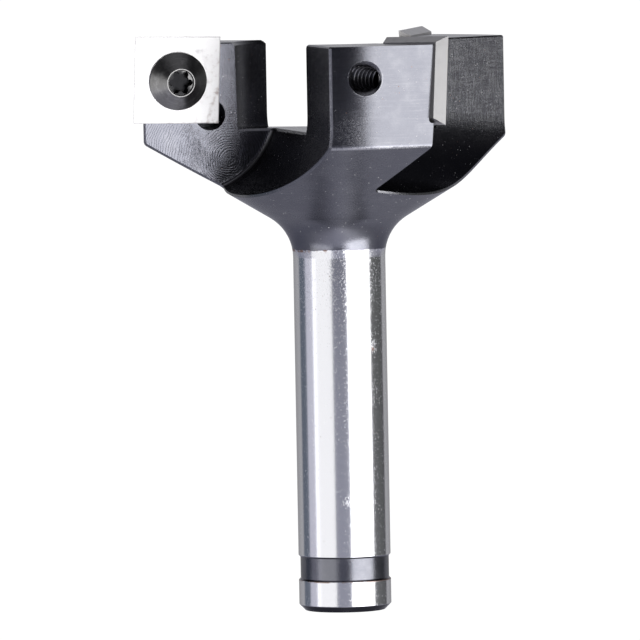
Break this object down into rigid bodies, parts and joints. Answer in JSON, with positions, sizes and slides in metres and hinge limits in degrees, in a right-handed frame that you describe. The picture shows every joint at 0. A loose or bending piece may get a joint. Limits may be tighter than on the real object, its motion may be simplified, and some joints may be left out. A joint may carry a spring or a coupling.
{
  "type": "surfacing router bit",
  "caption": "Shank-mounted router cutter with screwed-on square carbide inserts, for planing wide flat surfaces.",
  "frame": {"origin": "centre of the flat end of the shank, on the tool's axis", "axes": "+Z along the axis from the shank's end towards the cutting edges; the bit turns counter-clockwise seen from +Z, which is clockwise seen from the router; one insert faces -Y"},
  "size_m": [0.0513, 0.0512, 0.0794],
  "materials": {
    "tool_steel": "black oxide on the head, the neck and the ring near the end, ground bright on the shank",
    "carbide": "fine-ground pale grey sintered carbide",
    "screw_steel": "black oxide, slightly worn"
  },
  "bodies": {
    "root": {"cutter_body": "tool_steel", "insert_1": "carbide", "insert_2": "carbide", "insert_3": "carbide", "insert_screw_1": "screw_steel", "insert_screw_2": "screw_steel", "insert_screw_3": "screw_steel"}
  },
  "joints": []
}
